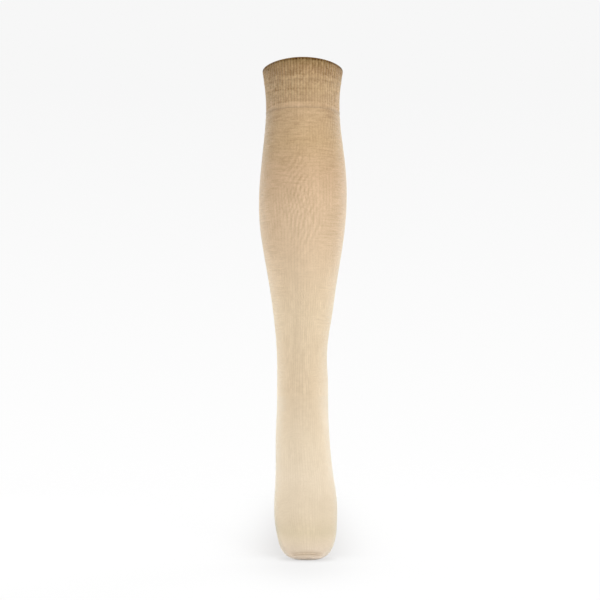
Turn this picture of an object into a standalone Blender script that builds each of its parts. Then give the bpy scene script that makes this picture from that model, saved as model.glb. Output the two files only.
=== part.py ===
"""A diabetic knee sock in its worn form: a hollow knitted tube on a left leg with the toes pointed.

Metres, +Z up the leg, toes towards -Y, +X on the little-toe side. The origin is the middle of the
welt, on the leg's axis, where the leg holds the sock up. Sizes below are in millimetres.
"""

import math
from collections import namedtuple

import bpy
from mathutils import Vector

MM = 0.001

TOE_TO_ORIGIN = 507.0  # the middle of the welt above the lowest point of the toe
WELT_WALL = 2.4  # two layers of rib, turned down on themselves
KNIT_WALL = 1.2  # one layer of plain knit
SEAM_GAP = 0.4  # clear space between pieces at the outer face of each join, square to it

RIM_RISE = 3.0  # the rim rides up over the front of the shin
WELT_LENGTH = 45.0  # from the rim down to the hem course
HEEL_CORNER = 370.0  # knitted length from the rim to the corners of the heel pocket
HEEL_RISE = 48.0  # the pocket's reach above its corners, at the back
HEEL_DROP = 44.0  # and below them
HEEL_END = 4.0  # height of the pocket's blunt ends
TOE_TOP = 11.5  # the toe pocket's edge before the tip over the toes, where the flat seam is
TOE_SOLE = 40.0  # and under the sole, where the pocket starts
TOE_LENGTH = 29.5  # the rounded end of the toe, past the last ring
TOE_BLUNT = 2.5  # power of its outline from above: 2 is an ellipse, more is squarer
TOE_RINGS = 7

COLUMNS = 32
WELT_ROWS = 5
LEG_ROWS = 27
HEEL_ROWS = 11
FOOT_ROWS = 14
TOE_ROWS = 9
EDGE_ROW = 1.2  # a narrow row along every edge, which keeps the wall square to the surface there

# Rings of the outer surface from the top down. front and back are how far the ring reaches
# towards the toes and how high those two points stand above the toe's lowest point; side is how
# far its middle lies towards the little toe; power is 2 for an ellipse and more for a squarer
# ring; low moves its widest place towards the back or the sole, as a share of half its depth.
Ring = namedtuple("Ring", "front front_up back back_up width side power low")
RINGS = [
    Ring(46.0, 530.5, -47.0, 522.5, 89.6, 0.0, 2.0, 0.00),  # rim
    Ring(45.5, 506.5, -46.0, 502.0, 86.0, -0.4, 2.0, 0.00),  # middle of the welt
    Ring(44.5, 482.0, -44.5, 482.0, 82.6, -0.2, 2.0, 0.02),  # hem course
    Ring(46.0, 461.0, -47.5, 461.0, 86.6, 0.0, 2.0, 0.04),  # below the knee
    Ring(48.5, 430.0, -54.5, 430.0, 94.2, 0.4, 2.0, 0.06),
    Ring(50.0, 395.0, -60.5, 395.0, 99.4, 0.1, 2.0, 0.08),  # calf
    Ring(49.0, 360.0, -59.5, 360.0, 97.2, -0.3, 2.0, 0.08),
    Ring(46.0, 325.0, -51.5, 325.0, 86.8, -0.2, 2.0, 0.06),
    Ring(41.0, 290.0, -42.5, 290.0, 75.4, 0.2, 2.0, 0.04),  # shin
    Ring(36.5, 255.0, -36.0, 255.5, 65.2, -0.4, 2.0, 0.02),
    Ring(33.8, 226.0, -34.0, 230.0, 58.2, -0.9, 2.0, 0.02),  # ankle
    Ring(32.9, 208.0, -38.5, 215.5, 57.3, -0.9, 2.1, 0.04),  # tendon
    Ring(32.2, 195.0, -53.0, 206.0, 57.6, -0.9, 2.3, 0.08),
    Ring(31.6, 184.0, -70.0, 193.0, 58.4, -0.8, 2.5, 0.12),
    Ring(31.2, 174.0, -77.0, 173.5, 58.8, -0.6, 2.6, 0.14),  # heel
    Ring(31.0, 164.0, -70.5, 151.5, 58.8, -0.5, 2.6, 0.14),
    Ring(31.0, 154.0, -51.0, 130.5, 59.0, -0.4, 2.5, 0.12),
    Ring(31.5, 143.0, -28.0, 111.0, 60.0, -0.2, 2.3, 0.10),  # arch
    Ring(34.0, 126.0, -7.5, 92.0, 61.8, 0.6, 2.2, 0.12),
    Ring(40.4, 99.0, 4.5, 69.0, 65.0, 2.2, 2.2, 0.14),
    Ring(48.4, 72.4, 17.0, 46.0, 68.8, 3.4, 2.3, 0.14),  # ball of the foot
    Ring(55.6, 49.6, 31.0, 29.0, 68.4, 3.4, 2.4, 0.12),
    Ring(63.2, 33.0, 43.5, 16.5, 62.4, 4.0, 2.4, 0.08),  # roots of the toes
]


def toe_rings(last):
    """Rings that round the toe off past the last ring, along the foot, down to a single point."""
    half = Vector((last.front - last.back, last.front_up - last.back_up)) / 2
    middle = Vector((last.front + last.back, last.front_up + last.back_up)) / 2
    ahead = Vector((half.y, -half.x)).normalized()
    rings = []
    for step in range(1, TOE_RINGS + 1):
        reach = math.sin(math.radians(90 * step / TOE_RINGS))
        wide = max(0.0, 1 - reach**TOE_BLUNT) ** (1 / TOE_BLUNT)
        deep = math.sqrt(max(0.0, 1 - reach**2))
        centre = middle + ahead * TOE_LENGTH * reach
        front = centre + half * deep
        back = centre - half * deep
        rings.append(
            Ring(front.x, front.y, back.x, back.y, last.width * wide, last.side, last.power, last.low)
        )
    return rings


def lengths(rings):
    """Knitted length from the rim down to each ring: the mean of its front and its back."""
    found = [0.0]
    for above, below in zip(rings, rings[1:]):
        front = math.hypot(below.front - above.front, below.front_up - above.front_up)
        back = math.hypot(below.back - above.back, below.back_up - above.back_up)
        found.append(found[-1] + (front + back) / 2)
    return found


def slopes(values, places):
    """The rate at which a column of the table changes at each of its rings."""
    found = []
    last = len(values) - 1
    for i in range(len(values)):
        before, after = max(0, i - 1), min(last, i + 1)
        found.append((values[after] - values[before]) / (places[after] - places[before]))
    return found


ALL_RINGS = RINGS + toe_rings(RINGS[-1])
PLACES = lengths(ALL_RINGS)
COLUMN_VALUES = list(zip(*ALL_RINGS))
COLUMN_SLOPES = [slopes(values, PLACES) for values in COLUMN_VALUES]
TIP = PLACES[-1]


def ring_at(place):
    """The ring at a knitted length from the rim, on a smooth curve through the table."""
    place = min(max(place, 0.0), TIP)
    i = max(k for k in range(len(PLACES) - 1) if PLACES[k] <= place)
    span = PLACES[i + 1] - PLACES[i]
    t = (place - PLACES[i]) / span
    blend = t * t * (3 - 2 * t)
    leave = t * (1 - t) ** 2 * span
    arrive = t * t * (t - 1) * span
    return Ring(
        *(
            values[i] + blend * (values[i + 1] - values[i]) + leave * rates[i] + arrive * rates[i + 1]
            for values, rates in zip(COLUMN_VALUES, COLUMN_SLOPES)
        )
    )


def on_sock(angle, place):
    """The point of the outer surface at an angle round the tube (0 is +X, 90 degrees the front)."""
    ring = ring_at(place)
    cos, sin = math.cos(angle), math.sin(angle)
    across = math.copysign(abs(cos) ** (2 / ring.power), cos)
    along = math.copysign(abs(sin) ** (2 / ring.power), sin) - ring.low * cos * cos
    forward = (ring.front + ring.back) / 2 + along * (ring.front - ring.back) / 2
    up = (ring.front_up + ring.back_up) / 2 + along * (ring.front_up - ring.back_up) / 2
    up += RIM_RISE * max(0.0, sin) ** 2 * max(0.0, 1 - place / WELT_LENGTH)
    return Vector((ring.side + across * ring.width / 2, -forward, up - TOE_TO_ORIGIN)) * MM


def hem_course(angle):
    return WELT_LENGTH


def instep_course(angle):
    return HEEL_CORNER


def heel_top(angle):
    return HEEL_CORNER - HEEL_END / 2 + HEEL_RISE * math.sin(angle)


def heel_bottom(angle):
    return HEEL_CORNER + HEEL_END / 2 - HEEL_DROP * math.sin(angle)


def toe_edge(angle):
    """The toe pocket's edge: level over the toes, sweeping back under the sole."""
    return TIP - TOE_TOP - (TOE_SOLE - TOE_TOP) * max(0.0, -math.sin(angle)) ** 4


def half_gap(angle, edge):
    """Half of SEAM_GAP as a knitted length, widened where the edge slants to the next column."""
    column = 2 * math.pi / COLUMNS
    shift = 0.5
    here = on_sock(angle, edge(angle))
    down_tube = on_sock(angle, edge(angle) + shift) - on_sock(angle, edge(angle) - shift)
    cleared = []
    for turn in (-column, column):
        along_edge = on_sock(angle + turn, edge(angle + turn)) - here
        cleared.append(down_tube.cross(along_edge.normalized()).length / MM / (2 * shift))
    return SEAM_GAP / 2 / min(cleared)


def before(edge):
    return lambda angle: edge(angle) - half_gap(angle, edge)


def after(edge):
    return lambda angle: edge(angle) + half_gap(angle, edge)


def on_front(angle):
    return math.sin(angle) > 0.01


def leg_end(angle):
    return before(instep_course if on_front(angle) else heel_top)(angle)


def foot_start(angle):
    return after(instep_course if on_front(angle) else heel_bottom)(angle)


def fabric(name, colour):
    """Matt knitted cotton in an sRGB colour."""
    material = bpy.data.materials.new(name)
    material.use_nodes = True
    shader = material.node_tree.nodes["Principled BSDF"]
    linear = [((c / 255 + 0.055) / 1.055) ** 2.4 for c in colour]
    shader.inputs["Base Color"].default_value = (*linear, 1.0)
    shader.inputs["Roughness"].default_value = 0.9
    shader.inputs["Metallic"].default_value = 0.0
    return material


def row_places(first, last, rows, ends_in_point):
    """Places from one edge to the other, even but for a narrow row along each open edge."""
    edge = min(EDGE_ROW, (last - first) / 4)
    if ends_in_point:
        step = (last - first - edge) / (rows - 1)
        return [first] + [first + edge + step * row for row in range(rows - 1)]
    step = (last - first - 2 * edge) / (rows - 2)
    return [first] + [first + edge + step * row for row in range(rows - 1)] + [last]


def knit(name, collection, angles, start, end, rows, wall, colour, closes=True):
    """A wall that follows the sock from one edge to another, each edge a length for each angle.

    Without an end it runs on to the tip of the toe. With closes it goes all the way round.
    """
    ends_in_point = end is None
    bounds = [(start(angle), TIP if ends_in_point else end(angle)) for angle in angles]
    columns = [row_places(first, last, rows, ends_in_point) for first, last in bounds]
    grid_rows = len(columns[0])
    points = [
        on_sock(angle, column[row]) for row in range(grid_rows) for angle, column in zip(angles, columns)
    ]
    count = len(angles)
    strips = count if closes else count - 1
    faces = []
    for row in range(grid_rows - 1):
        for i in range(strips):
            a, b = row * count + i, row * count + (i + 1) % count
            faces.append((a, b, b + count, a + count))
    if ends_in_point:
        points.append(on_sock(0.0, TIP))
        above = (grid_rows - 1) * count
        faces += [(above + i, above + (i + 1) % count, len(points) - 1) for i in range(count)]
    mesh = bpy.data.meshes.new(name)
    mesh.from_pydata(points, [], faces)
    mesh.shade_smooth()
    mesh.materials.append(fabric(name + " knit", colour))
    piece = bpy.data.objects.new(name, mesh)
    collection.objects.link(piece)
    shell = piece.modifiers.new("Wall", "SOLIDIFY")
    shell.thickness = wall * MM
    shell.offset = -1.0
    return piece


def build():
    for old in list(bpy.data.objects):
        bpy.data.objects.remove(old, do_unlink=True)
    sock = bpy.data.collections.new("Diabetic knee sock")
    bpy.context.scene.collection.children.link(sock)
    around = [2 * math.pi * i / COLUMNS for i in range(COLUMNS)]
    behind = [math.pi + 2 * math.pi * i / COLUMNS for i in range(COLUMNS // 2 + 1)]
    knit("welt", sock, around, lambda a: 0.0, before(hem_course), WELT_ROWS, WELT_WALL, (180, 150, 114))
    knit("leg", sock, around, after(hem_course), leg_end, LEG_ROWS, KNIT_WALL, (214, 184, 150))
    knit("heel", sock, behind, after(heel_top), before(heel_bottom), HEEL_ROWS, KNIT_WALL,
         (228, 206, 177), closes=False)
    knit("foot", sock, around, foot_start, before(toe_edge), FOOT_ROWS, KNIT_WALL, (233, 215, 188))
    knit("toe", sock, around, after(toe_edge), None, TOE_ROWS, KNIT_WALL, (220, 203, 176))


build()
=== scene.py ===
import math

import bpy
import numpy as np
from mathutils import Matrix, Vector


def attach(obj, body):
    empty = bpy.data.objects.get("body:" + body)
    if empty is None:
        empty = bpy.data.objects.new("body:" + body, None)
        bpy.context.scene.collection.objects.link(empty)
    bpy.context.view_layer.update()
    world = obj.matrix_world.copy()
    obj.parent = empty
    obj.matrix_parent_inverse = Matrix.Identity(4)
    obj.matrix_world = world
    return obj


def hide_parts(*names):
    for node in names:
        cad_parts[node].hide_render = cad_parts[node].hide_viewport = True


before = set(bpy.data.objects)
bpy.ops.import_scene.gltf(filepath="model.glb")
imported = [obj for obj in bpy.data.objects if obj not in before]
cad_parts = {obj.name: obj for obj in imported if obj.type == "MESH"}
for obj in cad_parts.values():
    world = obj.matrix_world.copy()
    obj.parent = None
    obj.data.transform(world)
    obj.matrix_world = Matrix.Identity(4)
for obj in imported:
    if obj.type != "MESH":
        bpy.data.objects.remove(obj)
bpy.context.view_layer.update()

mm = 0.001
wales = 160  # needles of the knitting cylinder, so upright lines of loops all round the tube
ribs = 80  # knitted one and one, so every second wale stands up
columns = wales * 4
turns = np.arange(columns) / columns
allAngles = 2 * math.pi * turns
toeToOrigin = 507.0  # the origin, in the middle of the welt, above the point of the toe

# Rings of the outer surface from the rim down, in millimetres: how far the front reaches towards the
# toes and how high it stands above the toe, the same for the back, the width, how far the middle lies
# to the little-toe side, the power (2 is an ellipse) and how far back the widest place sits.
rings = np.array([
    (46.0, 531.9, -47.0, 524.0, 88.8, -0.1, 2.0, 0.00),  # rim
    (45.5, 506.5, -46.0, 502.0, 82.3, -0.2, 2.0, 0.00),  # middle of the welt
    (44.5, 482.0, -44.5, 482.0, 81.1, 0.0, 2.0, 0.02),  # hem
    (46.0, 461.0, -47.5, 461.0, 84.2, 0.1, 2.0, 0.04),
    (48.5, 430.0, -54.5, 430.0, 91.6, 0.5, 2.0, 0.06),
    (50.0, 395.0, -60.5, 395.0, 97.0, 0.2, 2.0, 0.08),  # calf
    (49.0, 360.0, -59.5, 360.0, 94.8, -0.3, 2.0, 0.08),
    (46.0, 325.0, -51.5, 325.0, 85.1, -0.2, 2.0, 0.06),
    (41.0, 290.0, -42.5, 290.0, 73.3, 0.0, 2.0, 0.04),  # shin
    (36.5, 255.0, -36.0, 255.5, 63.4, -0.1, 2.0, 0.02),
    (33.8, 226.0, -34.0, 230.0, 56.7, -0.9, 2.0, 0.02),  # ankle
    (32.9, 208.0, -38.5, 215.5, 55.1, -0.9, 2.1, 0.04),
    (32.2, 195.0, -53.0, 206.0, 55.5, -0.7, 2.3, 0.08),
    (31.6, 184.0, -70.0, 193.0, 56.6, -0.3, 2.5, 0.12),
    (31.2, 174.0, -77.0, 173.5, 57.1, -0.2, 2.6, 0.14),  # heel
    (31.0, 164.0, -70.5, 151.5, 57.3, -0.2, 2.6, 0.14),
    (31.0, 154.0, -51.0, 130.5, 58.0, -0.4, 2.5, 0.12),
    (31.5, 143.0, -28.0, 111.0, 59.0, -0.3, 2.3, 0.10),  # arch
    (34.0, 126.0, -7.5, 92.0, 60.1, 0.4, 2.2, 0.12),
    (40.4, 99.0, 4.5, 69.0, 63.1, 1.9, 2.2, 0.14),
    (48.4, 72.4, 17.0, 46.0, 67.5, 3.0, 2.3, 0.14),  # ball of the foot
    (55.6, 49.6, 31.0, 29.0, 66.3, 3.3, 2.4, 0.12),
    (63.2, 33.0, 43.5, 16.5, 61.6, 3.9, 2.4, 0.08),  # roots of the toes
])
toeEnd = {"length": 27.3, "blunt": 3.0, "taper": 0.18, "rings": 7}
rim = {"rise": 3.4, "fade": 45.0}  # it rides up over the front of the shin, and the rise fades down the welt


def roundedToe(last):
    half = (last[0:2] - last[2:4]) / 2
    middle = (last[0:2] + last[2:4]) / 2
    ahead = np.array([half[1], -half[0]]) / np.hypot(*half)
    made = []
    for step in range(1, toeEnd["rings"] + 1):
        reach = math.sin(math.radians(90 * step / toeEnd["rings"]))
        wide = (1 - toeEnd["taper"] * reach) * max(0.0, 1 - reach ** toeEnd["blunt"]) ** (1 / toeEnd["blunt"])
        deep = math.sqrt(max(0.0, 1 - reach**2))
        centre = middle + ahead * toeEnd["length"] * reach
        made.append([*(centre + half * deep), *(centre - half * deep), last[4] * wide, *last[5:]])
    return np.array(made)


# The tube's place is the knitted length from the rim, the mean of the front's and the back's.
allRings = np.vstack([rings, roundedToe(rings[-1])])
ringSteps = np.diff(allRings, axis=0)
ringGaps = (np.hypot(ringSteps[:, 0], ringSteps[:, 1]) + np.hypot(ringSteps[:, 2], ringSteps[:, 3])) / 2
ringPlaces = np.concatenate([[0.0], np.cumsum(ringGaps)])
tip = ringPlaces[-1]


def splineBends(places, values):
    # second derivatives of a natural cubic curve through each column of the table
    gaps = np.diff(places)[:, None]
    slopes = np.diff(values, axis=0) / gaps
    system = np.eye(len(places))
    wanted = np.zeros_like(values)
    for i in range(1, len(places) - 1):
        system[i, i - 1:i + 2] = gaps[i - 1, 0], 2 * (gaps[i - 1, 0] + gaps[i, 0]), gaps[i, 0]
        wanted[i] = 6 * (slopes[i] - slopes[i - 1])
    return np.linalg.solve(system, wanted)


ringBends = splineBends(ringPlaces, allRings)


def ringAt(place):
    place = np.clip(place, 0.0, tip)
    i = np.clip(np.searchsorted(ringPlaces, place, side="right") - 1, 0, len(ringGaps) - 1)
    gap = ringGaps[i][..., None]
    b = (place - ringPlaces[i])[..., None] / gap
    a = 1 - b
    bend = ((a**3 - a) * ringBends[i] + (b**3 - b) * ringBends[i + 1]) * gap**2 / 6
    return np.moveaxis(a * allRings[i] + b * allRings[i + 1] + bend, -1, 0)


def hill(x, middle, half):
    return np.exp(-(((x - middle) / half) ** 2))


def ease(x, low, high):
    t = np.clip((x - low) / (high - low), 0.0, 1.0)
    return t * t * (3 - 2 * t)


def turnFrom(angle, middle):
    return np.remainder(angle - math.radians(middle) + math.pi, 2 * math.pi) - math.pi


def facing(middle, half):
    # 1 where the tube faces an angle in degrees, fading over a half width in radians
    return hill(turnFrom(allAngles, middle), 0.0, half)


def tubePoint(angle, place):
    # the smooth tube; angle 0 is the little-toe side, 90 degrees the front
    front, frontUp, back, backUp, width, side, power, low = ringAt(place)
    cos, sin = np.cos(angle), np.sin(angle)
    across = np.sign(cos) * np.abs(cos) ** (2 / power)
    along = np.sign(sin) * np.abs(sin) ** (2 / power) - low * cos * cos
    forward = (front + back) / 2 + along * (front - back) / 2
    up = (frontUp + backUp) / 2 + along * (frontUp - backUp) / 2
    up = up + rim["rise"] * np.maximum(0, sin) ** 2 * np.maximum(0, 1 - place / rim["fade"])
    return np.stack([side + across * width / 2, -forward, up - toeToOrigin], -1)


def outwardAt(angle, place):
    turnStep, placeStep = 0.01, 0.4
    place = np.minimum(place, tip - 1.5 * placeStep)  # the tube closes at its tip
    around = tubePoint(angle + turnStep, place) - tubePoint(angle - turnStep, place)
    down = tubePoint(angle, place + placeStep) - tubePoint(angle, place - placeStep)
    out = np.cross(around, down)
    return out / np.maximum(np.linalg.norm(out, axis=-1, keepdims=True), 1e-12)


def placeAtHeight(height):
    # the place where each upright line of the tube passes a height above the toe
    tries = np.linspace(0.0, 330.0, 661)  # every half millimetre, down to just above the heel
    heights = tubePoint(allAngles, tries[:, None])[..., 2] + toeToOrigin
    return np.array([np.interp(-height, -line, tries) for line in heights.T])


def cloud(x, y, seed, lumps=64):
    # soft noise from -1 to 1, about one lump per unit, closing on itself after a number of lumps in x
    tall = 64
    lattice = np.random.default_rng(seed).uniform(-1, 1, (lumps, tall))
    i, j = np.floor(x).astype(int), np.floor(y).astype(int)
    u, v = ease(x - i, 0.0, 1.0), ease(y - j, 0.0, 1.0)
    here, there, below, above = i % lumps, (i + 1) % lumps, j % tall, (j + 1) % tall
    near = lattice[here, below] * (1 - u) + lattice[there, below] * u
    far = lattice[here, above] * (1 - u) + lattice[there, above] * u
    return near * (1 - v) + far * v


# Creases placed one by one: middle angle, middle place, half width in degrees, half height, how far the
# crease drops per radian, depth. Each is a soft trough with a low ridge on either side.
creases = [
    (266, 279, 52, 3.4, 5.0, 0.75), (277, 291, 60, 3.6, -4.0, 1.20), (262, 303, 56, 3.3, 6.0, 1.15),
    (273, 314, 46, 3.0, -3.0, 0.80), (248, 325, 24, 3.0, 9.0, 0.45), (296, 323, 22, 3.0, -9.0, 0.50),
    (205, 356, 20, 3.6, 16.0, 0.55), (334, 354, 20, 3.6, -15.0, 0.60), (198, 384, 16, 3.4, -14.0, 0.45),
    (340, 386, 17, 3.4, 13.0, 0.45), (262, 433, 42, 3.6, 5.0, 0.55), (280, 447, 46, 3.8, -5.0, 0.60),
    (266, 462, 40, 4.0, 4.0, 0.40), (118, 338, 24, 5.0, 12.0, 0.22), (64, 346, 24, 5.0, -12.0, 0.22),
    (132, 96, 15, 14.0, 10.0, 0.20), (40, 118, 16, 16.0, -12.0, 0.18), (236, 120, 18, 15.0, 14.0, 0.24),
    (300, 104, 18, 14.0, -10.0, 0.24), (152, 226, 18, 12.0, 10.0, 0.20), (24, 238, 18, 12.0, -9.0, 0.20),
    (262, 520, 20, 3.0, 6.0, 0.25), (284, 512, 20, 3.0, -6.0, 0.25),
]


# Fine ripples where the calf twists the knit: middle angle, height above the toe, half width in degrees,
# half height, pitch, lean to the right in degrees, strength.
ripples = [
    (97, 424, 17, 10, 6.2, 28, 0.75), (95, 406, 17, 10, 5.1, 33, 1.0), (95, 390, 17, 9, 4.5, 19, 1.0),
    (96, 374, 18, 9, 4.6, 30, 0.95), (96, 359, 18, 9, 4.9, 7, 1.0), (91, 343, 18, 9, 5.5, 24, 0.6),
    (89, 328, 16, 8, 7.0, 40, 0.3), (74, 375, 12, 11, 6.2, 30, 0.55), (73, 356, 12, 11, 6.7, 20, 0.6),
    (47, 464, 15, 13, 4.1, 15, 0.7), (50, 440, 13, 12, 4.4, 18, 0.4), (133, 462, 13, 12, 4.6, -24, 0.4),
    (128, 300, 14, 12, 4.2, 12, 0.35), (70, 285, 14, 12, 3.6, -8, 0.4), (92, 278, 12, 10, 3.4, -26, 0.65),
    (262, 430, 22, 13, 6.0, 24, 0.8), (270, 405, 24, 12, 5.0, 30, 0.9), (276, 378, 24, 12, 4.8, -18, 0.8),
    (266, 352, 22, 12, 5.4, -28, 0.7), (205, 400, 16, 14, 5.2, 22, 0.5), (338, 396, 16, 14, 5.4, -22, 0.5),
    (268, 120, 24, 12, 4.6, 20, 0.5), (150, 70, 14, 10, 4.2, -18, 0.35), (28, 84, 14, 10, 4.4, 18, 0.35),
]


def rippleAt(angle, place):
    calfRadius, waver, shift = 48, 1.44, 1.7  # every ripple wavers, and starts at a shift from the last
    height = tubePoint(angle, place)[..., 2] + toeToOrigin
    total = np.zeros(height.shape)
    for number, (middle, at, spread, tall, pitch, lean, strength) in enumerate(ripples):
        turned, up, lean = turnFrom(angle, middle), height - at, math.radians(lean)
        shape = np.exp(-((turned / math.radians(spread)) ** 2) - (up / tall) ** 2)
        wander = waver * cloud(turned * 6 + 20, up / 9 + 30, number)
        phase = 2 * math.pi * (-turned * calfRadius * math.cos(lean) - up * math.sin(lean)) / pitch
        total += strength * shape * np.cos(phase + wander + number * shift)
    return total


def creaseDepth(angle, place):
    total = np.zeros(np.broadcast(angle, place).shape)
    for middle, at, spread, height, drop, depth in creases:
        turned = turnFrom(angle, middle)
        wander = 0.9 * np.sin(turned * 5.0 + at) + drop * turned
        across = (place - at - wander) / height
        along = np.exp(-((turned / math.radians(spread)) ** 2))
        total += depth * along * (1 - 0.9 * across**2) * np.exp(-(across**2))
    return total


# Where the calf pulls the knit its wales drift sideways: middle angle, middle place, half width in
# degrees, half length, drift in degrees.
drifts = [(96, 150, 26, 34, -6.0), (72, 205, 22, 30, -3.6), (268, 150, 30, 40, 4.5), (100, 505, 30, 22, 2.5)]


def waleAngle(turn, place):
    angle = 2 * math.pi * turn
    lean = np.zeros(np.broadcast(turn, place).shape)
    for middle, at, spread, length, drift in drifts:
        across = turnFrom(angle, middle) / math.radians(spread)
        along = (place - at) / length
        lean += math.radians(drift) * along * np.exp(0.5 - along**2 - across**2)
    return angle + lean


def addNode(tree, kind, inputs=(), **settings):
    # inputs by name or in order; a node given as a value stands for its first output
    node = tree.nodes.new(kind)
    for name, value in settings.items():
        setattr(node, name, value)
    for name, value in inputs.items() if isinstance(inputs, dict) else enumerate(inputs):
        value = value.outputs[0] if isinstance(value, bpy.types.Node) else value
        if isinstance(value, bpy.types.NodeSocket):
            tree.links.new(value, node.inputs[name])
        else:
            node.inputs[name].default_value = value
    return node


def linearColour(hexCode):
    parts = [int(hexCode[i:i + 2], 16) / 255 for i in (1, 3, 5)]
    return (*[p / 12.92 if p <= 0.04045 else ((p + 0.055) / 1.055) ** 2.4 for p in parts], 1.0)


def newTree(name, sockets):
    tree = bpy.data.node_groups.new(name, "GeometryNodeTree")
    for kind, labels in {"Geometry": ["Geometry"], **sockets}.items():
        for label in labels:
            tree.interface.new_socket(name=label, in_out="INPUT", socket_type="NodeSocket" + kind)
    tree.interface.new_socket(name="Geometry", in_out="OUTPUT", socket_type="NodeSocketGeometry")
    return tree, tree.nodes.new("NodeGroupInput").outputs


def runTree(piece, tree, values):
    modifier = piece.modifiers.new(tree.name, "NODES")
    modifier.node_group = tree
    for item in tree.interface.items_tree:
        if item.in_out == "INPUT" and item.name in values:
            modifier[item.identifier] = values[item.name]
    evaluated = piece.evaluated_get(bpy.context.evaluated_depsgraph_get())
    made = bpy.data.meshes.new_from_object(evaluated)
    made.name = piece.name
    piece.modifiers.remove(modifier)
    before = piece.data
    piece.data = made
    bpy.data.meshes.remove(before)
    return piece


def crests(tree, turn, count):
    # 1 along the middle of each upright, 0 in the furrow between two
    number = addNode(tree, "ShaderNodeMath", [turn, count], operation="MULTIPLY")
    phase = addNode(tree, "ShaderNodeMath", [number, math.pi], operation="MULTIPLY")
    wave = addNode(tree, "ShaderNodeMath", [phase], operation="SINE")
    return number, addNode(tree, "ShaderNodeMath", [wave], operation="ABSOLUTE")


# Ribs: rounded uprights between narrow furrows, some deeper than others, with a finer wale on each.
def makeRibTree():
    tree, given = newTree("knitRibs", {
        "Int": ["Ribs around", "Wales around", "Seed"],
        "Float": ["Rib depth", "Roundness", "Unevenness", "Wale depth", "Course height", "Course depth"],
        "Material": ["Knit"],
    })
    turn, place, share = [addNode(tree, "GeometryNodeInputNamedAttribute", {"Name": label})
                          for label in ("turn", "place", "share")]
    outward = addNode(tree, "GeometryNodeInputNamedAttribute", {"Name": "outward"}, data_type="FLOAT_VECTOR")

    # each rib rises and sinks on its own, about once in 20 mm
    ribNumber, ribCrest = crests(tree, turn, given["Ribs around"])
    rounded = addNode(tree, "ShaderNodeMath", [ribCrest, given["Roundness"]], operation="POWER")
    furrow = addNode(tree, "ShaderNodeMath", [rounded, 1.0], operation="SUBTRACT")
    nearestRib = addNode(tree, "ShaderNodeMath", [ribNumber], operation="ROUND")
    alongRib = addNode(tree, "ShaderNodeMath", [place, 0.06], operation="MULTIPLY")
    seedShift = addNode(tree, "ShaderNodeMath", [given["Seed"], 7.13], operation="MULTIPLY")
    ribSpot = addNode(tree, "ShaderNodeCombineXYZ", [nearestRib, alongRib, seedShift])
    ribNoise = addNode(tree, "ShaderNodeTexNoise", {"Vector": ribSpot, "Scale": 0.83, "Detail": 1.0})
    ribChange = addNode(tree, "ShaderNodeMath", [ribNoise, 0.5], operation="SUBTRACT")
    ribSpread = addNode(tree, "ShaderNodeMath", [ribChange, given["Unevenness"], 1.0],
                        operation="MULTIPLY_ADD")
    ribHeight = addNode(tree, "ShaderNodeMath", [given["Rib depth"], ribSpread], operation="MULTIPLY")
    ribOffset = addNode(tree, "ShaderNodeMath", [furrow, ribHeight], operation="MULTIPLY")

    _, waleCrest = crests(tree, turn, given["Wales around"])
    waleOffset = addNode(tree, "ShaderNodeMath", [waleCrest, given["Wale depth"], ribOffset],
                         operation="MULTIPLY_ADD")
    course = addNode(tree, "ShaderNodeMath", [place, given["Course height"]], operation="DIVIDE")
    courseTurn = addNode(tree, "ShaderNodeMath", [course, 2 * math.pi], operation="MULTIPLY")
    courseWave = addNode(tree, "ShaderNodeMath", [courseTurn], operation="COSINE")
    courseOnRib = addNode(tree, "ShaderNodeMath", [courseWave, rounded], operation="MULTIPLY")
    offset = addNode(tree, "ShaderNodeMath", [courseOnRib, given["Course depth"], waleOffset],
                     operation="MULTIPLY_ADD")
    shared = addNode(tree, "ShaderNodeMath", [offset, share], operation="MULTIPLY")
    moved = addNode(tree, "ShaderNodeVectorMath", {0: outward, "Scale": shared}, operation="SCALE")
    pushed = addNode(tree, "GeometryNodeSetPosition", {"Geometry": given["Geometry"], "Offset": moved})
    whole = addNode(tree, "GeometryNodeRealizeInstances", {"Geometry": pushed})
    coloured = addNode(tree, "GeometryNodeSetMaterial", {"Geometry": whole, "Material": given["Knit"]})
    addNode(tree, "NodeGroupOutput", {"Geometry": coloured})
    return tree


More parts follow.
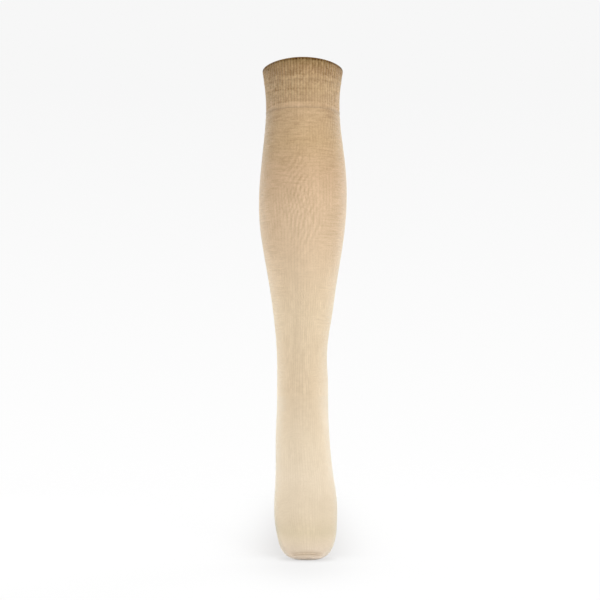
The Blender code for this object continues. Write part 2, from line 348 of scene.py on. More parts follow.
# Stitches: small slanted loops of yarn, one after another along a line on the fabric.
def makeStitchTree():
    tree, given = newTree("yarnStitches", {
        "Float": ["Pitch", "Length", "Thickness", "Slant", "Unevenness"], "Int": ["Seed"],
        "Material": ["Yarn"],
    })
    line = addNode(tree, "GeometryNodeMeshToCurve", {"Mesh": given["Geometry"]})
    spots = addNode(tree, "GeometryNodeCurveToPoints", {"Curve": line, "Length": given["Pitch"]},
                    mode="LENGTH")
    outward = addNode(tree, "GeometryNodeInputNamedAttribute", {"Name": "outward"}, data_type="FLOAT_VECTOR")
    standing = addNode(tree, "FunctionNodeAxesToRotation", [outward, spots.outputs["Tangent"]],
                       primary_axis="Z", secondary_axis="X")
    slant = addNode(tree, "ShaderNodeCombineXYZ", {2: given["Slant"]})
    slantTurn = addNode(tree, "FunctionNodeEulerToRotation", [slant])
    turned = addNode(tree, "FunctionNodeRotateRotation", {"Rotation": standing, "Rotate By": slantTurn},
                     rotation_space="LOCAL")
    biggest = addNode(tree, "ShaderNodeMath", [given["Unevenness"], 1.0], operation="ADD")
    smallest = addNode(tree, "ShaderNodeMath", [1.0, given["Unevenness"]], operation="SUBTRACT")
    size = addNode(tree, "FunctionNodeRandomValue",
                   {"Min": smallest, "Max": biggest, "Seed": given["Seed"]}, data_type="FLOAT").outputs[1]
    ball = addNode(tree, "GeometryNodeMeshUVSphere", {"Segments": 10, "Rings": 6, "Radius": 0.5})
    loopSize = addNode(tree, "ShaderNodeCombineXYZ",
                       [given["Length"], given["Thickness"], given["Thickness"]])
    loop = addNode(tree, "GeometryNodeTransform", {"Geometry": ball, "Scale": loopSize})
    laid = addNode(tree, "GeometryNodeInstanceOnPoints",
                   {"Points": spots.outputs["Points"], "Instance": loop, "Rotation": turned, "Scale": size})
    whole = addNode(tree, "GeometryNodeRealizeInstances", {"Geometry": laid})
    smooth = addNode(tree, "GeometryNodeSetShadeSmooth", {"Geometry": whole})
    dyed = addNode(tree, "GeometryNodeSetMaterial", {"Geometry": smooth, "Material": given["Yarn"]})
    addNode(tree, "NodeGroupOutput", {"Geometry": dyed})
    return tree


ribTree = makeRibTree()
stitchTree = makeStitchTree()
print("node trees made")


def newMaterial(name, finish):
    material = bpy.data.materials.new(name)
    material.use_nodes = True
    shader = material.node_tree.nodes["Principled BSDF"]
    for label, value in finish.items():
        shader.inputs[label].default_value = value
    return material, material.node_tree, shader


# the colour ramps by height below are partly painted light falling off towards the knee
rampTop = 540  # height above the toe where every dye ramp ends


def colourByHeightRamp(tree, height, stops):
    # darker and browner at the knee, paler down the leg: partly the skin showing through the stretched
    # knit, partly painted light that falls off towards the knee
    rampAt = addNode(tree, "ShaderNodeMapRange", [height, -toeToOrigin * mm, (rampTop - toeToOrigin) * mm])
    ramp = addNode(tree, "ShaderNodeValToRGB", [rampAt])
    while len(ramp.color_ramp.elements) < len(stops):
        ramp.color_ramp.elements.new(0.5)
    for element, (up, hexCode) in zip(ramp.color_ramp.elements, stops):
        element.position = up / rampTop
        element.color = linearColour(hexCode)
    return ramp


def knitToneAndFurrowShade(tree, look, unrolled, bearing, along, height):
    # every rib takes the dye a little differently along its length
    ribNumber = addNode(tree, "ShaderNodeMath", [bearing, ribs / (2 * math.pi)], operation="MULTIPLY")
    wholeRib = addNode(tree, "ShaderNodeMath", [ribNumber], operation="FLOOR")
    ribSpread = addNode(tree, "ShaderNodeMath", [wholeRib, 1.37], operation="MULTIPLY")
    ribAlong = addNode(tree, "ShaderNodeMath", [along, 1 / (look["ribStreakLength"] * mm)],
                       operation="MULTIPLY")
    ribSpot = addNode(tree, "ShaderNodeCombineXYZ", [ribSpread, ribAlong, 0.5])
    ribStreak = addNode(tree, "ShaderNodeTexNoise", {"Vector": ribSpot, "Scale": 1.0, "Detail": 1.0})

    # and so does every few courses, most at the sides of the leg and under the hem
    wide, tall = 1 / (look["courseStreakLength"] * mm), 1 / (look["courseStreak"] * mm)
    courseSpot = addNode(tree, "ShaderNodeMapping", {0: unrolled, 3: (wide, wide, tall)})
    courseStreak = addNode(tree, "ShaderNodeTexNoise", {"Vector": courseSpot, "Scale": 1.0, "Detail": 1.0})
    sideways = addNode(tree, "ShaderNodeMath", [bearing, 2.0], operation="MULTIPLY")
    flanks = addNode(tree, "ShaderNodeMath", [sideways], operation="COSINE")
    patches, mottle, speckle = [
        addNode(tree, "ShaderNodeTexNoise",
                {"Vector": unrolled, "Scale": 1 / (look[size] * mm), "Detail": detail})
        for size, detail in (("patchSize", 1.0), ("mottleSize", 3.0), ("speckleSize", 1.0))
    ]
    underHem = addNode(tree, "ShaderNodeMapRange", [height, *look["hemPullRange"], 0.0, look["hemPull"]])
    pulled = addNode(tree, "ShaderNodeMath", [flanks, look["flankPull"], underHem], operation="MULTIPLY_ADD")
    patchShare = addNode(tree, "ShaderNodeMath", [pulled, patches], operation="ADD")
    courseWay = addNode(tree, "ShaderNodeMapRange", [patchShare, *look["patchRange"]],
                        interpolation_type="SMOOTHSTEP")
    ribWay = addNode(tree, "ShaderNodeMath", [courseWay, -look["patchiness"], 1.0], operation="MULTIPLY_ADD")

    # the knit stretches most over the calf, so its courses and specks show more towards the knee
    nearKnee = addNode(tree, "ShaderNodeMapRange", [height, *look["kneeRange"], 0.5, look["kneeGain"]])
    courseWayHere = addNode(tree, "ShaderNodeMath", [courseWay, nearKnee], operation="MULTIPLY")

    # painted shade in the furrows between ribs and between wales, where the patches let them show
    furrows = []
    for count in (ribs, wales):
        turn = addNode(tree, "ShaderNodeMath", [bearing, float(count)], operation="MULTIPLY")
        furrows.append(addNode(tree, "ShaderNodeMath", [turn], operation="COSINE"))
    shade = 0.0
    for wave, middle, amount, share in (
        (furrows[0], 0.0, -look["ribFurrowPaintedShade"], ribWay), (furrows[1], 0.0, -look["waleFurrowPaintedShade"], ribWay),
        (ribStreak, 0.5, look["ribStreakShade"], ribWay),
        (courseStreak, 0.5, look["courseShade"], courseWayHere),
        (mottle, 0.5, look["mottleShade"], None), (speckle, 0.5, look["speckleShade"], nearKnee),
    ):
        change = addNode(tree, "ShaderNodeMath", [wave, middle], operation="SUBTRACT")
        if share:
            change = addNode(tree, "ShaderNodeMath", [change, share], operation="MULTIPLY")
        shade = addNode(tree, "ShaderNodeMath", [change, amount, shade], operation="MULTIPLY_ADD")
    return shade


def knitLoops(tree, look, unrolled, bearing, along):
    # each wale is a column of V shaped stitches, a strand down either side of its spine, under a fuzz
    waleCount = addNode(tree, "ShaderNodeMath", [bearing, wales / (2 * math.pi)], operation="MULTIPLY")
    waleShare = addNode(tree, "ShaderNodeMath", [waleCount], operation="FRACT")
    fromMiddle = addNode(tree, "ShaderNodeMath", [waleShare, 0.5], operation="SUBTRACT")
    fromSpine = addNode(tree, "ShaderNodeMath", [fromMiddle], operation="ABSOLUTE")
    courses = addNode(tree, "ShaderNodeMath", [along, 1 / (look["coursePitch"] * mm)], operation="MULTIPLY")
    slope = addNode(tree, "ShaderNodeMath", [fromSpine, -1.3, courses], operation="MULTIPLY_ADD")
    strandTurn = addNode(tree, "ShaderNodeMath", [slope, 2 * math.pi], operation="MULTIPLY")
    strandWave = addNode(tree, "ShaderNodeMath", [strandTurn], operation="SINE")
    spine = addNode(tree, "ShaderNodeMapRange", [fromSpine, 0.0, 0.12])
    edge = addNode(tree, "ShaderNodeMapRange", [fromSpine, 0.5, 0.36])
    strand = addNode(tree, "ShaderNodeMath", [spine, edge], operation="MULTIPLY")
    strandHeight = addNode(tree, "ShaderNodeMath", [strandWave, 0.4, 0.6], operation="MULTIPLY_ADD")
    loops = addNode(tree, "ShaderNodeMath", [strandHeight, strand], operation="MULTIPLY")
    fuzz = addNode(tree, "ShaderNodeTexNoise",
                   {"Vector": unrolled, "Scale": 1 / (look["fuzzSize"] * mm), "Detail": 2.0})
    surface = addNode(tree, "ShaderNodeMath", [fuzz, 0.5, loops], operation="MULTIPLY_ADD")
    return addNode(tree, "ShaderNodeBump", {"Height": surface, "Strength": look["bump"],
                                            "Distance": look["bumpDepth"] * mm})


def knitMaterial(name, look):
    material, tree, shader = newMaterial(name, {
        "Roughness": look["roughness"], "Sheen Weight": look["sheen"],
        "Sheen Roughness": look["sheenRoughness"], "Sheen Tint": linearColour(look["sheenColour"]),
        "Specular IOR Level": look["specular"]})
    unrolled = addNode(tree, "ShaderNodeAttribute", attribute_name="unrolled").outputs["Vector"]
    tone, calm = [addNode(tree, "ShaderNodeAttribute", attribute_name=label).outputs["Fac"]
                  for label in ("tone", "calm")]
    x, y, along = addNode(tree, "ShaderNodeSeparateXYZ", [unrolled]).outputs
    bearing = addNode(tree, "ShaderNodeMath", [y, x], operation="ARCTAN2")
    spot = addNode(tree, "ShaderNodeTexCoord").outputs["Object"]
    height = addNode(tree, "ShaderNodeSeparateXYZ", [spot]).outputs[2]

    colourByHeight = colourByHeightRamp(tree, height, look["colourByHeight"])
    shade = knitToneAndFurrowShade(tree, look, unrolled, bearing, along, height)
    loud = addNode(tree, "ShaderNodeMath", [1.0, calm], operation="SUBTRACT")
    change = addNode(tree, "ShaderNodeMath", [shade, loud, tone], operation="MULTIPLY_ADD")
    # shaded yarn turns browner as well as darker
    browned = addNode(tree, "ShaderNodeVectorMath", {0: look["browning"], "Scale": change}, operation="SCALE")
    colour = addNode(tree, "ShaderNodeVectorMath", [browned, colourByHeight, colourByHeight], operation="MULTIPLY_ADD")
    tree.links.new(colour.outputs[0], shader.inputs["Base Color"])
    bump = knitLoops(tree, look, unrolled, bearing, along)
    tree.links.new(bump.outputs[0], shader.inputs["Normal"])
    return material


# Sizes are in millimetres, and hemPullRange and kneeRange are heights in metres from the origin. Real
# courses are about 0.9 mm high, and fuzz and specks are finer than 0.5 mm: too fine to show, so all
# three are drawn coarser.
# Cotton rib, knitted double: matt, with soft upright ribs and a nap that catches light at the edges.
ribLook = {
    "colourByHeight": [(478, "#A58C71"), (484, "#C9AA85"), (492, "#BC9E79"), (502, "#C2A47D"),
            (512, "#B69872"), (524, "#A5865F"), (534, "#90754C")],
    "browning": (0.85, 1.0, 1.25),
    "roughness": 0.85, "sheen": 0.6, "sheenRoughness": 0.30, "sheenColour": "#DDE2DD", "specular": 0.2,
    "ribFurrowPaintedShade": 0.11, "waleFurrowPaintedShade": 0.04, "ribStreakShade": 0.70, "ribStreakLength": 5,
    "patchiness": 0.25, "patchSize": 24, "patchRange": (0.36, 0.60), "flankPull": 0.15,
    "hemPull": 0.0, "hemPullRange": (-0.09, -0.04),
    "courseShade": 0.60, "courseStreak": 1.9, "courseStreakLength": 6,
    "mottleShade": 0.20, "mottleSize": 14, "speckleShade": 0.60, "speckleSize": 1.5,
    "kneeGain": 1.0, "kneeRange": (-0.34, -0.04),
    "coursePitch": 1.6, "fuzzSize": 0.9, "bump": 0.6, "bumpDepth": 0.35,
}
# Plain knit in fine cotton: matt and even, courses and wales just visible, paler towards the toes.
plainLook = dict(ribLook, **{
    "sheen": 0.80, "sheenColour": "#DBE4E2",
    "colourByHeight": [(0, "#EBD8C4"), (30, "#CABA9E"), (45, "#D6C5AB"), (85, "#DFCEB5"), (120, "#E1CFB4"),
            (180, "#E1CBAC"), (260, "#E6D0B0"), (330, "#E0C5A4"), (372, "#DABD9B"), (410, "#CEAF8C"),
            (445, "#C3A57E"), (480, "#C4A681")],
    "ribFurrowPaintedShade": 0.04, "waleFurrowPaintedShade": 0.03, "ribStreakShade": 0.24, "ribStreakLength": 9,
    "patchiness": 1.0, "hemPull": 0.14,
    "courseShade": 0.33, "courseStreak": 1.6, "courseStreakLength": 12,
    "mottleShade": 0.12, "speckleShade": 0.22, "kneeGain": 1.7, "coursePitch": 1.5, "bumpDepth": 0.25,
})
# The same knit stretched over the foot: smoother, with a paler bloom at its edges.
footLook = dict(plainLook, **{
    "sheen": 0.88, "sheenColour": "#D8E5E8", "ribFurrowPaintedShade": 0.025, "waleFurrowPaintedShade": 0.015, "ribStreakShade": 0.14,
    "courseShade": 0.24, "mottleShade": 0.10, "speckleShade": 0.24,
})
# The same yarn knitted closer for the toe pocket: the evenest and calmest surface.
toeLook = dict(footLook, **{"courseShade": 0.20})
ribCotton = knitMaterial("cotton rib knit", ribLook)
plainCotton = knitMaterial("plain cotton knit", plainLook)
footCotton = knitMaterial("plain cotton knit of the foot", footLook)
toeCotton = knitMaterial("toe knit", toeLook)
print("materials made")


def addVectors(mesh, label, vectors):
    attribute = mesh.attributes.new(label, "FLOAT_VECTOR", "POINT")
    attribute.data.foreach_set("vector", vectors.astype(np.float32).ravel())


def newPiece(mesh):
    piece = bpy.data.objects.new(mesh.name, mesh)
    bpy.context.scene.collection.objects.link(piece)
    return piece


def gridFaces(rows, count, closedRound, closedRows):
    across = count if closedRound else count - 1
    down = rows if closedRows else rows - 1
    r, c = np.meshgrid(np.arange(down), np.arange(across), indexing="ij")
    nextRow, nextColumn = (r + 1) % rows, (c + 1) % count
    corners = [r * count + c, r * count + nextColumn, nextRow * count + nextColumn, nextRow * count + c]
    faces = np.stack(corners, -1).reshape(-1, 4).tolist()
    if not closedRound:  # close the two ends between the outer and the inner rows
        half = rows // 2
        for column, order in ((0, 1), (count - 1, -1)):
            for row in range(half - 1):
                ends = [row, row + 1, rows - 2 - row, rows - 1 - row]
                faces.append([end * count + column for end in ends][::order])
    return faces


def gridPiece(name, turn, place, depth, share, tone, sharpRows, calm=0.0, closedRound=True, poles=()):
    # one skin from a grid of rows and columns; depth lies below the outer face of the fabric, share says
    # how much of the ribs it takes, tone how much paler its colour is, painted light and shade included,
    # and calm how much plainer its pattern
    # ripples are raised, and painted paler on their crests and darker in their troughs: painted light and
    # shade
    patternRadius, rippleRise, rippleLightAndShade = 40, 0.10, 0.10
    rows, count = place.shape
    turn = np.broadcast_to(turn, place.shape)
    angle = waleAngle(turn, place)
    out = outwardAt(angle, place)
    ripple = rippleAt(angle, place)
    depth = depth + creaseDepth(angle, place) - rippleRise * ripple
    points = (tubePoint(angle, place) - out * depth[..., None]) * mm
    around = patternRadius * np.cos(2 * math.pi * turn), patternRadius * np.sin(2 * math.pi * turn)
    unrolled = np.stack([*around, place], -1) * mm
    faces = gridFaces(rows, count, closedRound, not poles)
    floats = {"turn": turn, "place": place, "share": share, "tone": tone + rippleLightAndShade * ripple, "calm": calm}
    floats = {label: np.broadcast_to(values, place.shape).ravel() for label, values in floats.items()}
    points, out, unrolled = points.reshape(-1, 3), out.reshape(-1, 3), unrolled.reshape(-1, 3)
    for row, spot, away in poles:  # a fan of triangles closes the first and the last row
        last = len(points)
        points = np.vstack([points, spot])
        out = np.vstack([out, away])
        unrolled = np.vstack([unrolled, unrolled[row * count]])
        floats = {label: np.append(values, 0.0) for label, values in floats.items()}
        ring = row * count + np.arange(count)
        fan = np.stack([ring, np.roll(ring, -1), np.full(count, last)], -1)
        faces += (fan if row else fan[:, ::-1]).tolist()
    mesh = bpy.data.meshes.new(name)
    mesh.from_pydata(points.tolist(), [], faces)
    mesh.shade_smooth()
    for label, values in floats.items():
        mesh.attributes.new(label, "FLOAT", "POINT").data.foreach_set("value", values.astype(np.float32))
    addVectors(mesh, "outward", out)
    addVectors(mesh, "unrolled", unrolled)
    ends = np.empty(len(mesh.edges) * 2, np.int32)
    mesh.edges.foreach_get("vertices", ends)
    endRows = ends.reshape(-1, 2) // count
    sharp = (endRows[:, 0] == endRows[:, 1]) & np.isin(endRows[:, 0], sharpRows)
    mesh.attributes.new("sharp_edge", "BOOLEAN", "EDGE").data.foreach_set("value", sharp)
    return newPiece(mesh)


def rowsBetween(start, end, count):
    return start + (end - start) * np.linspace(0.0, 1.0, count)[:, None]


def tubeRows(start, end, outerRows, innerRows, wall):
    # rows down the outer face and back up the inner one, their depths, which are outside, the sharp ones
    outer = rowsBetween(start, end, outerRows)
    inner = rowsBetween(end, start, innerRows)
    depths = np.vstack([np.zeros_like(outer), np.full_like(inner, wall)])
    sharpRows = [0, outerRows - 1, outerRows, outerRows + innerRows - 1]
    return np.vstack([outer, inner]), depths, depths == 0, sharpRows


def weighed(amounts, marks):
    return sum(amount * marks[label] for label, amount in amounts.items())


# Where the pieces meet, as places down the tube.
hemPlace = 46.8 + 2.6 * np.cos(allAngles) ** 4  # the hem rides up over the front of the shin
heel = {"corner": 370.0, "rise": 48.0, "drop": 44.0, "blunt": 0.15, "rows": 48, "gore": 0.28,
        "goreTone": -0.14}
toe = {"top": 7.0, "sole": 38.0, "outerRows": 30, "innerRows": 14, "pole": 0.8, "dip": 0.35, "dipWidth": 1.6,
       "dipSeamAndShadeTone": -0.34}


def heelTop(angle):
    return heel["corner"] - heel["blunt"] + heel["rise"] * np.minimum(0, np.sin(angle))


def heelBottom(angle):
    return heel["corner"] + heel["blunt"] - heel["drop"] * np.minimum(0, np.sin(angle))


def toeEdge(angle):
    return tip - toe["top"] - (toe["sole"] - toe["top"]) * np.maximum(0, -np.sin(angle)) ** 4


def toeDip(place):
    # the cloth dips along the linked seam, over the toes only, and is darker there: partly the seam's own
    # line, partly painted shade in the dip
    return hill(place, toeEdge(allAngles), toe["dipWidth"]) * ease(np.sin(allAngles), 0.35, 0.8)


# painted shade around the instep, on the side facing 130 degrees
def paintedAnkleShade(place):
    return 0.08 * facing(130, 0.32) * hill(place, 375, 42)


toeSides = np.abs(np.cos(allAngles)) ** 3

# Welt: knitted double and turned down on itself, so its rim is a rounded fold.
welt = {
    "wall": 2.4, "outerRows": 88, "foldRows": 7, "innerRows": 12,
    "streakHeight": 514.0, "tuckHeight": 501.5, "bandHeight": 5.6, "bandNarrowing": 0.28,
    "lift": {"streak": 0.20, "band": 0.15, "hem": -0.08, "ribEnds": -0.15},
    "tone": {"streak": 0.15, "hem": -0.04, "ribEnds": -0.10, "tuck": -0.42},
    "paintedRimShadowTone": -0.62, "underRim": 0.35, "calmFront": 0.38, "calmBand": 0.5, "innerShare": 0.6,
    "ribs": {"Ribs around": ribs, "Rib depth": 0.44 * mm, "Roundness": 0.8, "Unevenness": 2.2,
             "Wales around": wales, "Wale depth": 0.06 * mm, "Course height": 2.0,
             "Course depth": 0.05 * mm, "Seed": 3, "Knit": ribCotton},
}


def makeWelt():
    radius = welt["wall"] / 2
    outer = rowsBetween(np.full(columns, radius), hemPlace, welt["outerRows"])
    inner = rowsBetween(hemPlace, np.full(columns, radius), welt["innerRows"])
    fold = np.linspace(math.pi, 0.0, welt["foldRows"] + 2)[1:-1, None] * np.ones(columns)
    places = np.vstack([outer, inner, radius - radius * np.sin(fold)])
    depths = np.vstack([np.zeros_like(outer), np.full_like(inner, welt["wall"]),
                        radius - radius * np.cos(fold)])
    outside = depths < radius

    # a pale streak, a tucked course and a plain band over the hem, none of them quite level
    lumps = 40
    wander = cloud(np.broadcast_to(turns * lumps, places.shape), places * 0 + 3.5, 21, lumps)
    streakPlace = placeAtHeight(welt["streakHeight"]) + 0.8 * wander
    tuckPlace = placeAtHeight(welt["tuckHeight"]) + 0.5 * wander
    furrows = 0.35 + 0.65 * np.cos(math.pi * ribs * turns) ** 4  # the tuck shows most between the ribs
    clearest = 0.25 + 0.75 * facing(122, 0.75) + 0.5 * facing(285, 0.8)
    bandHeight = welt["bandHeight"] * (1 - welt["bandNarrowing"] * np.cos(allAngles) ** 2)
    bandTop = hemPlace - bandHeight + 0.3 * wander
    plainBand = ease(places, bandTop - 0.7, bandTop + 0.7)
    marks = {
        # the streak is a raised course painted with a highlight along it and a shadow under it
        "streak": hill(places, streakPlace, 1.5) - 0.5 * hill(places, streakPlace + 2.6, 0.9),
        "tuck": hill(places, tuckPlace, 0.8) * furrows * clearest,
        "band": plainBand * (1 - hill(places, hemPlace, 0.8)),
        "ribEnds": hill(places, bandTop - 1.4, 0.9),
        "hem": hill(places, hemPlace, 0.9),
    }
    # painted light and shade: the band is palest in front and behind, darker where it turns away either side
    bandPaintedLightAndShade = 0.14 * facing(104, 0.52) + 0.10 * facing(270, 0.9) - 0.02
    bandPaintedLightAndShade = bandPaintedLightAndShade - 0.09 * facing(50, 0.26) - 0.08 * facing(144, 0.24)
    # painted shadow along the rim's fold, darkest where it turns over outside and fainter inside
    paintedRimShadow = (1 - ease(places, 1.5, 3.1)) * (1 - 0.7 * ease(depths, 0.5, 1.8))
    lift = weighed(welt["lift"], marks)
    tone = weighed(welt["tone"], marks) + bandPaintedLightAndShade * marks["band"]
    tone = np.where(outside, tone, 0.0) + welt["paintedRimShadowTone"] * paintedRimShadow
    # the ribs stand out most under the rim, and are calmer below the streak in front
    underRim = welt["underRim"] * (1 - ease(places, 14, 20))
    calmFront = welt["calmFront"] * facing(74, 0.45) * ease(places, 23, 30)
    calm = np.maximum(calmFront, welt["calmBand"] * plainBand) - underRim
    share = (1 + underRim - calmFront) * (1 - 0.75 * plainBand) + 0.7 * marks["tuck"]
    piece = gridPiece("weltKnit", turns, places, depths - np.where(outside, lift, 0),
                      np.where(outside, share, welt["innerShare"]), tone,
                      [welt["outerRows"] - 1, welt["outerRows"]], calm=np.where(outside, calm, 0.0))
    return runTree(piece, ribTree, welt["ribs"])


weltKnit = makeWelt()
print("welt made")

# Leg: one tube from the hem to the instep course in front and the heel pocket behind.
leg = {
    "wall": 1.1, "outerRows": 136, "innerRows": 12,
    "lift": {"underHem": 0.12, "hem": -0.08}, "tone": {"underHem": 0.06, "hem": -0.04, "flanks": -0.10},
    "ribs": dict(welt["ribs"], **{"Rib depth": 0.10 * mm, "Roundness": 0.9, "Unevenness": 1.8,
                                  "Course depth": 0.0, "Seed": 5, "Knit": plainCotton}),
}


def makeLeg():
    end = np.where(np.sin(allAngles) > 0, heel["corner"], heelTop(allAngles))
    places, depths, outside, sharpRows = tubeRows(hemPlace, end, leg["outerRows"], leg["innerRows"],
                                                  leg["wall"])
    # painted shade down both flanks of the calf, most under the hem
    flanks = facing(150, 0.42) + facing(38, 0.34)
    marks = {
        "hem": hill(places, hemPlace, 1.0),
        "underHem": hill(places, hemPlace + 4.6, 1.1),
        "flanks": flanks * (1 - ease(places, 180, 235) + hill(places, hemPlace + 4, 12)),
    }
    lift = weighed(leg["lift"], marks)
    tone = weighed(leg["tone"], marks) - paintedAnkleShade(places)
    # the ribs stand up in front and behind, and fade down the shin and close under the hem
    share = 0.25 + facing(92, 0.5) + facing(270, 0.5)
    share = share * (1 - 0.45 * ease(places, 120, 190)) * (0.5 + 0.5 * ease(places, 60, 95))
    share = share * (1 - 0.28 * hill(places, 228, 34))
    calm = 0.30 * hill(places, 222, 48) * facing(86, 0.75)
    piece = gridPiece("legKnit", turns, places, depths - np.where(outside, lift, 0),
                      np.where(outside, share, 0.0), np.where(outside, tone, 0.0), sharpRows,
                      calm=np.where(outside, calm, 0.0))
    return runTree(piece, ribTree, leg["ribs"])


legKnit = makeLeg()
print("leg made")

footRibs = dict(leg["ribs"], **{"Rib depth": 0.04 * mm, "Wale depth": 0.04 * mm, "Knit": footCotton})


# Heel: a pocket knitted back and forth over half of the needles.
def makeHeel():
    halfTurns = np.append(turns[columns // 2:], 1.0)
    angles = 2 * math.pi * halfTurns
    places, depths, outside, sharpRows = tubeRows(heelTop(angles), heelBottom(angles), heel["rows"],
                                                  heel["rows"], leg["wall"])
    pull = hill(places, heel["corner"], 1.3) * ease(np.sin(angles), -0.85, -0.70)
    pull = np.where(outside, pull, 0)
    piece = gridPiece("heelKnit", halfTurns, places, depths + heel["gore"] * pull,
                      np.where(outside, 1.0, 0.0), heel["goreTone"] * pull, sharpRows, closedRound=False)
    return runTree(piece, ribTree, footRibs)


heelKnit = makeHeel()
print("heel made")

# Foot: the instep and the sole, down to the toe pocket.
foot = {"outerRows": 88, "innerRows": 12, "dipSeamAndShadeTone": -0.26, "toeSidePaintedLight": 0.10}


def makeFoot():
    start = np.where(np.sin(allAngles) > 0, heel["corner"], heelBottom(allAngles))
    places, depths, outside, sharpRows = tubeRows(start, toeEdge(allAngles), foot["outerRows"],
                                                  foot["innerRows"], leg["wall"])
    dip = toeDip(places)
    # painted light: the sides of the toe box are paler
    tone = foot["toeSidePaintedLight"] * toeSides * ease(tip - places, 62.0, 34.0)
    tone = tone + foot["dipSeamAndShadeTone"] * dip - paintedAnkleShade(places)
    piece = gridPiece("footKnit", turns, places, depths + np.where(outside, toe["dip"] * dip, 0),
                      np.where(outside, 1.0, 0.0), np.where(outside, tone, 0.0), sharpRows)
    return runTree(piece, ribTree, footRibs)


footKnit = makeFoot()
print("foot made")


# Toe: a rounded pocket that ends in a point, linked to the foot over the toes.
def makeToe():
    start, end = toeEdge(allAngles), np.full(columns, tip - toe["pole"])
    outer = rowsBetween(end, start, toe["outerRows"])[::-1]
    inner = rowsBetween(start, end, toe["innerRows"])[::-1]
    places = np.vstack([inner, outer])
    depths = np.vstack([np.full_like(inner, leg["wall"]), np.zeros_like(outer)])
    outside = depths == 0
    dip = toeDip(places)
    share = ease(tip - places, 2.0, 12.0)
    # painted light on the sides of the toe, and the seam's darker line with painted shade in its dip
    tone = foot["toeSidePaintedLight"] * toeSides + toe["dipSeamAndShadeTone"] * dip
    spot = tubePoint(np.array([0.0]), np.array([tip]))
    away = np.array([[0.0, -0.62, -0.78]])  # straight out of the point of the toe
    poles = [(0, (spot - leg["wall"] * away) * mm, away), (len(places) - 1, spot * mm, away)]
    piece = gridPiece("toeKnit", turns, places, depths + np.where(outside, toe["dip"] * dip, 0),
                      np.where(outside, share, 0.0), np.where(outside, tone, 0.0),
                      [toe["innerRows"] - 1, toe["innerRows"]], poles=poles)
    return runTree(piece, ribTree, dict(footRibs, Knit=toeCotton))


toeKnit = makeToe()
print("toe made")


def stitchLine(name, angle, place, raised, values):
    out = outwardAt(angle, place)
    points = (tubePoint(angle, place) + out * (raised - creaseDepth(angle, place))[..., None]) * mm
    mesh = bpy.data.meshes.new(name)
    mesh.from_pydata(points.tolist(), [(i, i + 1) for i in range(len(points) - 1)], [])
    addVectors(mesh, "outward", out)
    return runTree(newPiece(mesh), stitchTree, values)


# Linked seam over the toes, sunk in its dip, and the gore lines where the heel pocket is narrowed.
seam = {"Pitch": 1.25 * mm, "Length": 1.5 * mm, "Thickness": 0.75 * mm, "Slant": math.radians(28),
        "Unevenness": 0.12, "Seed": 11, "Yarn": toeCotton}
gore = dict(seam, Pitch=2.1 * mm, Length=1.3 * mm, Thickness=0.55 * mm, Slant=math.radians(60), Seed=12,
            Yarn=plainCotton)
seamAngles = np.radians(np.linspace(12, 168, 160))
goreAngles = np.radians(np.linspace(181, 232, 60))
gorePlaces = np.full(60, heel["corner"])
toeSeam = stitchLine("toeSeam", seamAngles, toeEdge(seamAngles), -0.15, seam)
heelGoreInner = stitchLine("heelGoreInner", goreAngles, gorePlaces, 0.05, gore)
heelGoreOuter = stitchLine("heelGoreOuter", math.pi * 3 - goreAngles, gorePlaces, 0.05, gore)
print("stitches made")


# Matt white paper, lit evenly: near the foot it shows as white with painted shadows, farther out it melts
# away.
paper = {
    "colour": "#D6D6D6", "white": "#FFFFFF", "paintedShadowColour": "#5C4A38", "lift": 0.9, "radius": 4.0,
    "gap": 0.2 * mm, "fade": (0.25, 0.90), "footEdge": (-0.085, -0.03),
    "contactReach": 0.012, "contactShade": 0.22,
    # painted soft shadows on the paper: how far behind the origin their middle lies, reach and strength
    "shadeWidth": 0.048, "behind": (0.06, 0.33, 0.30), "before": (-0.10, 0.085, 0.11),
}


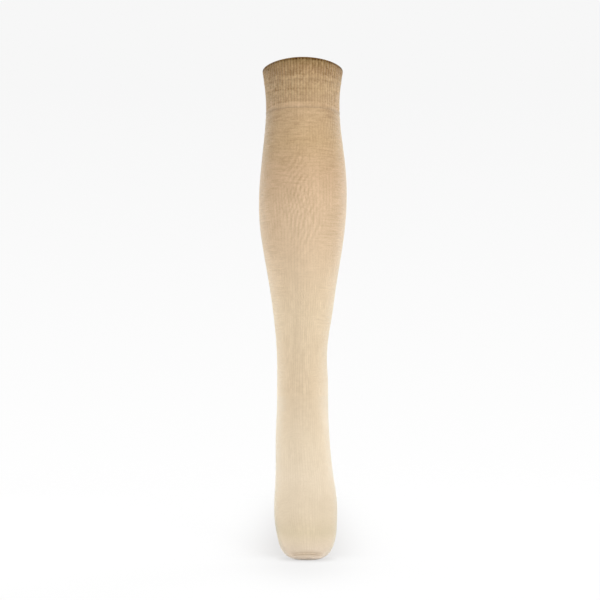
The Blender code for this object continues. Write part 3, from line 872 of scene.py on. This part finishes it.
def makePaper():
    material, tree, shader = newMaterial("matt white paper", {
        "Base Color": linearColour(paper["colour"]), "Roughness": 1.0, "Specular IOR Level": 0.0})
    spot = addNode(tree, "ShaderNodeTexCoord").outputs["Object"]
    along = addNode(tree, "ShaderNodeSeparateXYZ", [spot]).outputs[1]

    # painted shadows: a soft warm one under the foot and behind it, a fainter one before it
    # and a dark painted contact line where the toe meets the paper
    underFoot = addNode(tree, "ShaderNodeMapRange", [along, *paper["footEdge"]],
                        interpolation_type="SMOOTHSTEP")
    beforeFoot = addNode(tree, "ShaderNodeMath", [1.0, underFoot], operation="SUBTRACT")
    shade = 0.0
    for (middle, reach, strength), share in ((paper["behind"], underFoot), (paper["before"], beforeFoot)):
        stretched = addNode(tree, "ShaderNodeMapping", {
            "Vector": spot, "Location": (0, -middle / reach, 0),
            "Scale": (1 / paper["shadeWidth"], 1 / reach, 0)})
        away = addNode(tree, "ShaderNodeVectorMath", [stretched], operation="LENGTH").outputs[1]
        squared = addNode(tree, "ShaderNodeMath", [away, 2.0], operation="POWER")
        faded = addNode(tree, "ShaderNodeMath", [math.exp(-1), squared], operation="POWER")
        shared = addNode(tree, "ShaderNodeMath", [faded, share], operation="MULTIPLY")
        shade = addNode(tree, "ShaderNodeMath", [shared, strength, shade], operation="MULTIPLY_ADD")
    contact = addNode(tree, "ShaderNodeAmbientOcclusion", {"Distance": paper["contactReach"]}, samples=12)
    contact = addNode(tree, "ShaderNodeMath",
                      [contact.outputs["AO"], paper["contactShade"], 1 - paper["contactShade"]],
                      operation="MULTIPLY_ADD")
    bright = addNode(tree, "ShaderNodeMath", [1.0, shade], operation="SUBTRACT")
    bright = addNode(tree, "ShaderNodeMath", [bright, contact], operation="MULTIPLY")
    shown = addNode(tree, "ShaderNodeMix", {0: bright, 6: linearColour(paper["paintedShadowColour"]),
                                            7: linearColour(paper["white"])}, data_type="RGBA").outputs[2]
    glowing = addNode(tree, "ShaderNodeEmission", {"Color": shown, "Strength": 1.0})

    seenDirectly = addNode(tree, "ShaderNodeLightPath").outputs["Is Camera Ray"]
    lift = addNode(tree, "ShaderNodeMath", [seenDirectly, paper["lift"]], operation="MULTIPLY")
    lifted = addNode(tree, "ShaderNodeMixShader", [lift, shader, glowing])
    far = addNode(tree, "ShaderNodeVectorMath", [spot], operation="LENGTH").outputs[1]
    melting = addNode(tree, "ShaderNodeMapRange", [far, *paper["fade"]], interpolation_type="SMOOTHSTEP")
    clear = addNode(tree, "ShaderNodeBsdfTransparent")
    melted = addNode(tree, "ShaderNodeMixShader", [melting, lifted, clear])
    tree.links.new(melted.outputs[0], tree.nodes["Material Output"].inputs["Surface"])
    return material


floorZ = min(corner.co.z for corner in toeKnit.data.vertices) - paper["gap"]
bpy.ops.mesh.primitive_circle_add(vertices=96, radius=paper["radius"], fill_type="NGON",
                                  location=(0, 0, floorZ))
floor = bpy.context.object
floor.name = "studioFloor"
floor.data.materials.append(makePaper())

# Backdrop: white low down and a touch greyer above, and a dimmer glow for the light on the sock.
backdrop = {"low": "#FFFFFF", "high": "#F7F7F7", "range": (-0.14, 0.16), "glow": 0.35}


def makeWorld():
    world = bpy.data.worlds.new("studio")
    world.use_nodes = True
    tree = world.node_tree
    rays = addNode(tree, "ShaderNodeLightPath").outputs
    shownRays = addNode(tree, "ShaderNodeMath", [rays["Is Camera Ray"], rays["Is Glossy Ray"]],
                        operation="MAXIMUM")
    shownRays = addNode(tree, "ShaderNodeMath", [shownRays, rays["Is Transmission Ray"]], operation="MAXIMUM")
    spot = addNode(tree, "ShaderNodeTexCoord").outputs["Generated"]
    upwards = addNode(tree, "ShaderNodeSeparateXYZ", [spot]).outputs[2]
    shareUp = addNode(tree, "ShaderNodeMapRange", [upwards, *backdrop["range"]])
    colour = addNode(tree, "ShaderNodeMix", {0: shareUp, 6: linearColour(backdrop["low"]),
                                             7: linearColour(backdrop["high"])}, data_type="RGBA").outputs[2]
    seen = addNode(tree, "ShaderNodeBackground", {"Color": colour, "Strength": 1.0})
    glow = addNode(tree, "ShaderNodeBackground",
                   {"Color": linearColour(backdrop["low"]), "Strength": backdrop["glow"]})
    both = addNode(tree, "ShaderNodeMixShader", [shownRays, glow, seen])
    tree.links.new(both.outputs[0], tree.nodes["World Output"].inputs["Surface"])
    return world


bpy.context.scene.world = makeWorld()

lamps = {
    # name: place, aim, width, height, watts
    "keySoftbox": ((0.80, -1.15, 0.35), (0, 0, 0), 0.6, 0.6, 9.6),
    "frontFill": ((-0.29, -1.37, 0.0), (0, 0, -0.15), 0.8, 0.8, 2.5),
    "lowLeftSoftbox": ((-0.62, 0.16, -0.43), (0, -0.03, -0.48), 0.25, 0.16, 2.2),
    "lowRightSoftbox": ((0.62, 0.16, -0.43), (0, -0.03, -0.48), 0.25, 0.16, 0.7),
    "rightRearSoftbox": ((0.90, 1.07, 0.35), (0, 0, 0), 0.6, 0.6, 10.5),
    "leftRearSoftbox": ((-0.90, 1.07, 0.35), (0, 0, 0), 0.6, 0.6, 3.6),
    "overheadSoftbox": ((0.0, -0.1, 1.3), (0, -0.05, -0.5), 1.2, 1.2, 26.0),
}
for name, (spot, aim, width, height, watts) in lamps.items():
    light = bpy.data.lights.new(name, "AREA")
    light.shape = "RECTANGLE"
    light.size, light.size_y = width, height
    light.energy = watts
    lamp = bpy.data.objects.new(name, light)
    lamp.location = spot
    away = Vector(spot) - Vector(aim)
    lamp.rotation_euler = away.to_track_quat("Z", "Y").to_euler()
    bpy.context.scene.collection.objects.link(lamp)

view = {"distance": 1.5, "aside": -0.0031, "aboveToe": 0.2647, "lens": 81.8, "tilt": 0.42}
cameraData = bpy.data.cameras.new("studioCamera")
cameraData.lens = view["lens"]
camera = bpy.data.objects.new("studioCamera", cameraData)
camera.location = (view["aside"], -view["distance"], view["aboveToe"] - toeToOrigin * mm)
camera.rotation_euler = (math.radians(90 + view["tilt"]), 0, 0)
bpy.context.scene.collection.objects.link(camera)
bpy.context.scene.camera = camera
bpy.context.scene.view_settings.view_transform = "Standard"
print("studio made")

cloth = [
    # piece, node, finish, flat width and length, flat area where it isn't a rectangle, stitches on it
    (weltKnit, "welt", "rib_knit", (0.205, 0.052), None, []),
    (legKnit, "leg", "plain_knit", (0.190, 0.345), None, []),
    (heelKnit, "heel", "plain_knit", (0.100, 0.095), 0.0075, [heelGoreInner, heelGoreOuter]),
    (footKnit, "foot", "plain_knit", (0.170, 0.170), None, []),
    (toeKnit, "toe", "toe_knit", (0.075, 0.030), 0.0016, [toeSeam]),
]
for piece, node, finish, flat, area, trims in cloth:
    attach(piece, "root")
    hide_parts(node)
    for trim in trims:
        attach(trim, "root")
